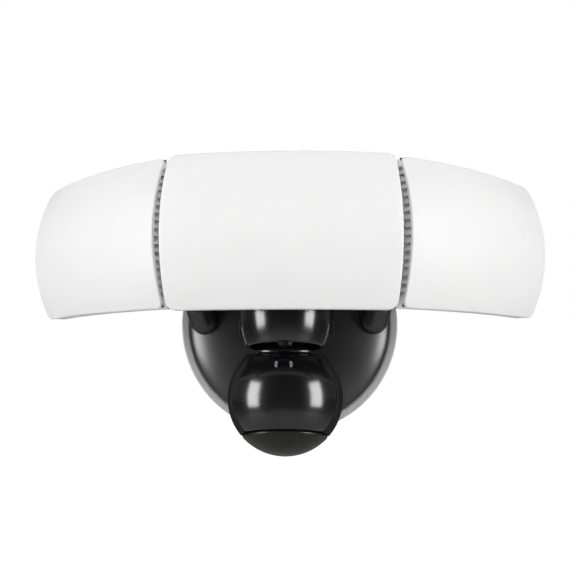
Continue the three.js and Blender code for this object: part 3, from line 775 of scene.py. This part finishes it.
def canopy():
    radius, back, wall = CANOPY["radius"], CANOPY["back"], CANOPY["wall"]
    outer = [(radius - wall, back), (radius - 0.5, back), (radius, back + 0.5)]
    profile = outer + dome(0, 24) + list(reversed(dome(wall, 14))) + [(radius - wall, back + 2)]
    piece = make("canopy_dome", *lathe(profile, 144, loop=True), place=TO_FRONT)
    tools = [rod("hole", 9.0, 0, 60, frame_at((0, 0, 4), (0, -1, 0)), 48)]
    for z in (-CANOPY_SCREW["z"], CANOPY_SCREW["z"]):
        tools.append(rod("hole", CANOPY_SCREW["radius"] + GAP, 0, 60, frame_at((0, 0, z), (0, -1, 0))))
    for side in ("left", "right"):
        tools.append(rod("hole", ARM["radius"] + GAP, ARM["start"] - GAP, 40, arm_frame(side), 48))
    return boolean(piece, "DIFFERENCE", tools)


settle(base_ring(), "base", "base_grey", ["base_ring"])
settle(wall_gasket(), "base", "foam_grey", ["wall_gasket"])
settle(canopy(), "base", "gloss_black", ["canopy"], SATIN_BLACK)
for level, z in (("upper", CANOPY_SCREW["z"]), ("lower", -CANOPY_SCREW["z"])):
    place = frame_at((0, CANOPY_SCREW["under"], z), (0, -1, 0))
    sizes = [CANOPY_SCREW[key] for key in ("head_radius", "head", "radius", "shank")]
    canopy_screw = screw(f"canopy_screw_{level}_steel", place, *sizes)
    settle(canopy_screw, "base", "steel", ["canopy_screw_" + level])
settle(softened_copy("mounting_bar", "mounting_bar_steel", 0.5), "base", "steel", ["mounting_bar"])

# ---------------------------------------------------------------- the center arm and the neck
BALL = Vector(JOINTS["camera_tilt"]["pos_m"]) / MM
AT_BALL = Matrix.Translation(BALL * MM)
RADIUS = 36.9
NECK = {"radius": 29.8, "taper": 0.0078, "straight": 5.0, "top": 8.0, "rim": -20.3, "slope": 6.3}
NECK_WALL = 2.4


def neck_radius(z):
    """The neck's outer radius at a height."""
    return NECK["radius"] - NECK["taper"] * max(0.0, NECK["straight"] - z) ** 2


def neck_bowl():
    """A bowl turned about the pan axis, open below, with a slanted rim."""
    count = 120
    slope = math.tan(math.radians(-NECK["slope"]))
    top, wall, ceiling = NECK["top"], NECK_WALL, NECK["top"] - 2 * NECK_WALL
    lip = 0.9

    def ring(offset, height_of, level=None):
        points = []
        for k in range(count):
            a = 2 * math.pi * k / count
            z = height_of(a) if level is None else level
            r = neck_radius(z) - offset
            points.append((r * math.cos(a), r * math.sin(a), z))
        return points

    def rim_height(a):
        return NECK["rim"] + slope * neck_radius(NECK["rim"]) * math.sin(a)

    hole = 5.5 + GAP
    rings = [circle(hole, top, count), circle(neck_radius(top) - 8, top, count)]
    for x, z in arc(-2.0, top - 2.0, 2.0, 90, -90, 5):
        rings.append(circle(neck_radius(top) + x, z, count))
    for i in range(1, 13):
        share = i / 12
        rings.append(ring(0, lambda a, s=share: (top - 2) * (1 - s) + (rim_height(a) + lip) * s))
    for inward, drop in arc(lip, 0, lip, 180, 90, 4)[1:]:
        rings.append(ring(inward, lambda a, d=drop: rim_height(a) + lip - d))
    rings.append(ring(wall - lip, rim_height))
    rings.append(ring(wall, lambda a: rim_height(a) + 0.7))
    for i in range(1, 7):
        share = i / 7
        rings.append(ring(wall, lambda a, s=share: (rim_height(a) + 0.7) * (1 - s) + (ceiling - 1) * s))
    rings += [circle(neck_radius(ceiling) - wall - 1, ceiling, count), circle(hole, ceiling, count)]
    place = Matrix.Translation((0, BALL.y * MM, 0))
    bowl = make("neck_bowl_moulding", *loft(rings, loop=True), place=place)
    room = make("room", *lathe(arc(0, 0, RADIUS + 2 * GAP, -90, 180, 60), 120), place=AT_BALL)
    return boolean(bowl, "DIFFERENCE", [room])


settle(neck_bowl(), "base", "gloss_black", ["neck_bowl"])
settle(softened_copy("center_arm", "center_arm_moulding", 1.6), "base", "gloss_black", ["center_arm"])

# ---------------------------------------------------------------- the camera unit
WALL = 2.2
COVER_PLANE = 16.3
COVER_TILT = math.radians(5)
TOP = 28.6
PIR_DROP = 25.1
PIR_SLOPE = math.radians(11)
CAP_RADIUS = 34.6
LENS = Vector((0, -25, 20.5))
LENS_RADIUS = 8.6
RESET = {"radius": 2.4, "z": 16.0, "back": 25.0, "end": 34.6}
SPEAKER = {"slots": 7, "pitch": 3.0, "height": 1.4, "z": -4.0, "radius": 11.5}
TRIM = {"radius": 21.8, "rise": 0.6, "bead": 1.4}
YOKE_SLOT = ((-6.7, -13, 10), (6.7, 25, 60))  # the room that the yoke needs while the ball tilts


def ahead_of_joint(p):
    """How far a point lies in front of the joint between the cover and the rear shell."""
    return -(p.y * math.cos(COVER_TILT) - p.z * math.sin(COVER_TILT)) - COVER_PLANE


def above_sensor(p):
    """How far a point lies above the joint over the motion sensor's lens."""
    return p.y * math.sin(PIR_SLOPE) + (p.z + PIR_DROP) * math.cos(PIR_SLOPE)


def depth_inside(p, edges):
    """Distance inside the nearest edge, in edge radii, eased where edges meet, and the radius there."""
    scaled = [(inside(p) / size, size) for inside, size in edges]
    least = min(value for value, _ in scaled)
    weights = [math.exp(-3.0 * min(value - least, 20)) for value, _ in scaled]
    total = sum(weights)
    size = sum(w * s for w, (_, s) in zip(weights, scaled)) / total
    return least - math.log(total) / 3.0, size


def shell_patch(name, radius, wall, toward, edges, spokes=144, place=AT_BALL):
    """A piece of a hollow ball. Each edge is (distance inside it as a function of a point, edge radius)."""
    middle = Vector(toward).normalized()
    across = middle.orthogonal().normalized()
    other = middle.cross(across)

    def direction(turn, tilt):
        sideways = across * math.cos(turn) + other * math.sin(turn)
        return middle * math.cos(tilt) + sideways * math.sin(tilt)

    def tilt_at(turn, share):
        low, high = 0.0, math.pi * 0.97
        for _ in range(30):
            half = (low + high) / 2
            if depth_inside(direction(turn, half) * radius, edges)[0] > share:
                low = half
            else:
                high = half
        return low

    turns = [2 * math.pi * k / spokes for k in range(spokes)]
    full = [tilt_at(turn, 1.0) for turn in turns]
    shares = [0.02, 0.1, 0.2, 0.3, 0.4, 0.5, 0.6, 0.7, 0.8, 0.88, 0.95, 1.0]
    rings = [[tuple(direction(t, f * s) * radius) for t, f in zip(turns, full)] for s in shares]
    for step in range(1, 8):
        bend = math.pi / 2 * step / 7
        ring = []
        for turn in turns:
            tilt = tilt_at(turn, 1 - math.sin(bend))
            size = depth_inside(direction(turn, tilt) * radius, edges)[1]
            ring.append(tuple(direction(turn, tilt) * (radius - size * (1 - math.cos(bend)))))
        rings.append(ring)
    edge = [tilt_at(turn, 0.0) for turn in turns]
    inner = radius - wall
    deepest = min(inner, radius - max(size for _, size in edges)) - 0.3
    rings.append([tuple(direction(t, e) * deepest) for t, e in zip(turns, edge)])
    for share in (0.96, 0.8, 0.6, 0.4, 0.2, 0.02):
        rings.append([tuple(direction(t, e * share) * deepest) for t, e in zip(turns, edge)])
    return make(name, *loft(rings), place=place, smooth_angle=50)


def front_cover():
    edges = (
        (lambda p: ahead_of_joint(p) - GAP, 1.8),
        (lambda p: TOP - p.z, 2.6),
        (lambda p: above_sensor(p) - GAP, 1.7),
    )
    cover = shell_patch("camera_front_cover_moulding", RADIUS, WALL, (0, -1, 0.12), edges)
    at_lens = AT_BALL @ Matrix.Translation(LENS * MM)
    ball = make("hole", *lathe(arc(0, 0, LENS_RADIUS + GAP, -90, 180, 24), 48), place=at_lens)
    return boolean(cover, "DIFFERENCE", [ball], 50)


def bisect(accept, low, high):
    """Where accept stops being true between low and high."""
    for _ in range(26):
        half = (low + high) / 2
        if accept(half):
            low = half
        else:
            high = half
    return low


def spaced(edge, count):
    """Shares from 0 to 1, close together near both ends."""
    start = [edge * (1 - math.cos(math.radians(15 * k))) for k in range(7)]
    middle = [edge + (1 - 2 * edge) * k / count for k in range(1, count)]
    return start + middle + [1 - share for share in reversed(start)]


def rear_shell():
    """The band of the ball behind the cover, between the cap and the motion sensor."""
    edges = (
        (lambda p: -ahead_of_joint(p), 0.8),
        (lambda p: TOP - p.z, 1.6),
        (lambda p: above_sensor(p) - GAP, 1.0),
    )

    def on_ball(turn, share):
        """A point at an azimuth from the back, a share of the way up from the sensor's joint to the cap's."""
        def at(z):
            across = math.sqrt(RADIUS ** 2 - z ** 2)
            return Vector((across * math.sin(turn), across * math.cos(turn), z))

        low = bisect(lambda z: above_sensor(at(-z)) > GAP, -TOP, RADIUS - 0.1)
        return at(-low + (TOP + low) * share)

    outer, inner = [], []
    for share in spaced(0.025, 26):
        reach = bisect(lambda turn: ahead_of_joint(on_ball(turn, share)) < 0, 0.0, math.radians(170))
        row = [on_ball(reach * (2 * side - 1), share) for side in spaced(0.01, 70)]
        depths = [depth_inside(p, edges) for p in row]
        drops = [size * (1 - math.sqrt(1 - (1 - min(1.0, max(0.0, depth))) ** 2)) for depth, size in depths]
        outer.append([tuple(p * (1 - drop / RADIUS)) for p, drop in zip(row, drops)])
        inner.append([tuple(p * (1 - WALL / RADIUS)) for p in row])
    shell = make("camera_rear_shell_moulding", *sheet(outer, inner), place=AT_BALL, smooth_angle=50)
    back = AT_BALL @ TO_FRONT.inverted()
    tools = [rod("hole", RESET["radius"] + 0.4, 20, 60, back @ Matrix.Translation((0, -RESET["z"] * MM, 0)))]
    for i in range(SPEAKER["slots"]):
        rise = (i - (SPEAKER["slots"] - 1) / 2) * SPEAKER["pitch"]
        half = math.sqrt(SPEAKER["radius"] ** 2 - rise ** 2)
        low, high = (SPEAKER["z"] + rise + sign * SPEAKER["height"] / 2 for sign in (-1, 1))
        tools.append(soften(box_piece("slot", (-half, 20, low), (half, 60, high), AT_BALL), 0.55, 2))
    tools.append(box_piece("slot", *YOKE_SLOT, AT_BALL))
    return boolean(shell, "DIFFERENCE", tools, 50)


def top_cap():
    edges = ((lambda p: p.z - TOP - GAP, 0.8),)
    cap = shell_patch("camera_top_cap_moulding", CAP_RADIUS, 2.0, (0.02, 0.05, 1), edges)
    return boolean(cap, "DIFFERENCE", [box_piece("slot", *YOKE_SLOT, AT_BALL)], 50)


def cap_trim():
    """The bead in front of the step between the ball and its cap."""
    turns = [math.radians(a) for a in range(-50, 51, 5)]
    radius = TRIM["radius"]
    path = [(radius * math.sin(a), -radius * math.cos(a), TOP + TRIM["rise"]) for a in turns]
    return tube("camera_cap_trim", path, TRIM["bead"], 24, AT_BALL)


def sensor_lens():
    edges = ((lambda p: -above_sensor(p) - GAP, 0.9),)
    return shell_patch("motion_sensor_dome", RADIUS, 1.6, (0, 0, -1), edges)


def camera_lens():
    edges = ((lambda p: LENS.y - 1 - (p.y + LENS.y), 0.4),)
    place = AT_BALL @ Matrix.Translation(LENS * MM)
    return shell_patch("camera_lens_glass", LENS_RADIUS, 1.2, (0, -1, 0), edges, 72, place)


def reset_button():
    radius, end = RESET["radius"], RESET["end"]
    profile = [(radius, RESET["back"]), (radius, end - 0.6)] + arc(radius - 0.6, end - 0.6, 0.6, 0, 90, 5)
    profile += [(radius - 1.0, end), (radius - 1.3, end - 0.25), (0, end - 0.4)]
    place = AT_BALL @ TO_FRONT.inverted() @ Matrix.Translation((0, -RESET["z"] * MM, 0))
    return make("reset_button_cap", *lathe(profile, 40), place=place)


settle(front_cover(), "camera_ball", "gloss_black", ["camera_front_cover"])
settle(rear_shell(), "camera_ball", "gloss_black", ["camera_rear_shell"], MATTE_BLACK)
settle(cap_trim(), "camera_ball", "gloss_black")
settle(top_cap(), "camera_ball", "housing_black", ["camera_top_cap"], SATIN_BLACK)
settle(sensor_lens(), "camera_ball", "smoke_lens", ["motion_sensor_lens"])
settle(camera_lens(), "camera_ball", "lens_glass", ["camera_lens"])
settle(reset_button(), "reset_key", "button_grey", ["reset_button"])

# ---------------------------------------------------------------- the CAD nodes that stay as they are
for name, node in frame["nodes"].items():
    if node.hide_render:
        continue
    node.data.materials.clear()
    node.data.materials.append(MATERIALS[SLOTS[name]])

# ---------------------------------------------------------------- the studio
CAMERA_PLACE = Vector((0.01992, -0.59915, -0.03891))
CAMERA_AHEAD = Vector((-0.03498, 0.99332, 0.10998))
CAMERA_UP = Vector((0.00387, -0.10991, 0.99393))
LIT_POINT = Vector((0, -0.08, 0))


def studio_camera():
    data = bpy.data.cameras.new("camera")
    data.lens = 50
    data.sensor_width = 36
    data.clip_end = 50
    eye = bpy.data.objects.new("camera", data)
    bpy.context.scene.collection.objects.link(eye)
    right = CAMERA_AHEAD.cross(CAMERA_UP).normalized()
    up = right.cross(CAMERA_AHEAD).normalized()
    turn = Matrix((right, up, -CAMERA_AHEAD.normalized())).transposed().to_4x4()
    eye.matrix_world = Matrix.Translation(CAMERA_PLACE) @ turn
    bpy.context.scene.camera = eye


def softbox(name, azimuth, elevation, distance, size, radiance, diffuse=True, glossy=True):
    """An area light that faces the object. Azimuth 0 is the front and positive is to the right."""
    data = bpy.data.lights.new(name, "AREA")
    data.shape = "RECTANGLE"
    data.size, data.size_y = size
    data.energy = radiance * math.pi * size[0] * size[1]
    light = bpy.data.objects.new(name, data)
    bpy.context.scene.collection.objects.link(light)
    a, e = math.radians(azimuth), math.radians(elevation)
    away = Vector((math.sin(a) * math.cos(e), -math.cos(a) * math.cos(e), math.sin(e)))
    turn = away.to_track_quat("Z", "Y").to_matrix().to_4x4()
    light.matrix_world = Matrix.Translation(LIT_POINT + away * distance) @ turn
    light.visible_diffuse = diffuse
    light.visible_glossy = glossy
    light.visible_camera = False


def pale_surroundings():
    """White behind the object, and a dim room with brighter sides for light and reflections."""
    world = bpy.data.worlds.new("studio")
    bpy.context.scene.world = world
    world.use_nodes = True
    tree = world.node_tree
    tree.nodes.clear()
    nodes, links = tree.nodes, tree.links
    seen = nodes.new("ShaderNodeBackground")
    seen.inputs["Color"].default_value = (1, 1, 1, 1)
    room = nodes.new("ShaderNodeBackground")
    direction = nodes.new("ShaderNodeTexCoord").outputs["Generated"]
    split = nodes.new("ShaderNodeSeparateXYZ")
    links.new(direction, split.inputs["Vector"])
    sideways = nodes.new("ShaderNodeMath")
    sideways.operation = "ABSOLUTE"
    links.new(split.outputs["X"], sideways.inputs[0])
    ramp = nodes.new("ShaderNodeValToRGB")
    links.new(sideways.outputs["Value"], ramp.inputs["Fac"])
    band = ramp.color_ramp
    band.elements.new(0.5)
    for element, (position, level) in zip(band.elements, ((0.0, 0.02), (0.45, 0.07), (1.0, 0.18))):
        element.position = position
        element.color = (level, level, level, 1)
    links.new(ramp.outputs["Color"], room.inputs["Color"])
    rays = nodes.new("ShaderNodeLightPath")
    mix = nodes.new("ShaderNodeMixShader")
    links.new(rays.outputs["Is Camera Ray"], mix.inputs["Fac"])
    links.new(room.outputs["Background"], mix.inputs[1])
    links.new(seen.outputs["Background"], mix.inputs[2])
    links.new(mix.outputs["Shader"], nodes.new("ShaderNodeOutputWorld").inputs["Surface"])


def pale_floor():
    look = Look("pale_floor", roughness=0.8, specular=0.1)
    look.colour(look.varied((0.7, 0.7, 0.7), 0.01, 400.0))
    look.bump(look.noise(3.0, 2.0), 0.05)
    place = look.tree.nodes.new("ShaderNodeSeparateXYZ")
    look.link(look.place, place.inputs["Vector"])
    # Camera rays see the floor glow, more strongly further back: painted light that stands in for a brightly
    # lit floor.
    glow = look.tree.nodes.new("ShaderNodeMapRange")
    for socket, value in (("From Min", 0.6), ("From Max", 1.5), ("To Min", 0.55), ("To Max", 1.0)):
        glow.inputs[socket].default_value = value
    look.link(place.outputs["Y"], glow.inputs["Value"])
    seen = look.tree.nodes.new("ShaderNodeMath")
    seen.operation = "MULTIPLY"
    look.link(glow.outputs["Result"], seen.inputs[0])
    look.link(look.tree.nodes.new("ShaderNodeLightPath").outputs["Is Camera Ray"], seen.inputs[1])
    look.set("Emission Color", (1, 1, 1, 1))
    look.link(seen.outputs["Value"], look.shader.inputs["Emission Strength"])
    floor = make("floor", *loft([circle(r, 0, 96) for r in (40, 600, 2000, 12000)], capped=False))
    floor.location.z = -0.6
    floor.data.materials.append(look.material)


studio_camera()
for side, azimuth, reflected in (("left", -62, -63), ("right", 61, 65)):
    softbox(side + "_key", azimuth, 6, 1.2, (0.75, 1.6), 3.15, glossy=False)
    softbox(side + "_key_reflection", reflected, 4, 1.1, (0.48, 0.8), 14.0, diffuse=False)
softbox("top_fill", 0, 58, 1.4, (1.2, 0.8), 2.0, glossy=False)
softbox("front_fill", 0, 0, 1.5, (1.0, 0.6), 2.8, glossy=False)
softbox("back_fill", 180, 35, 1.6, (1.2, 0.8), 1.5, glossy=False)
pale_surroundings()
pale_floor()
bpy.context.scene.view_settings.view_transform = "Standard"
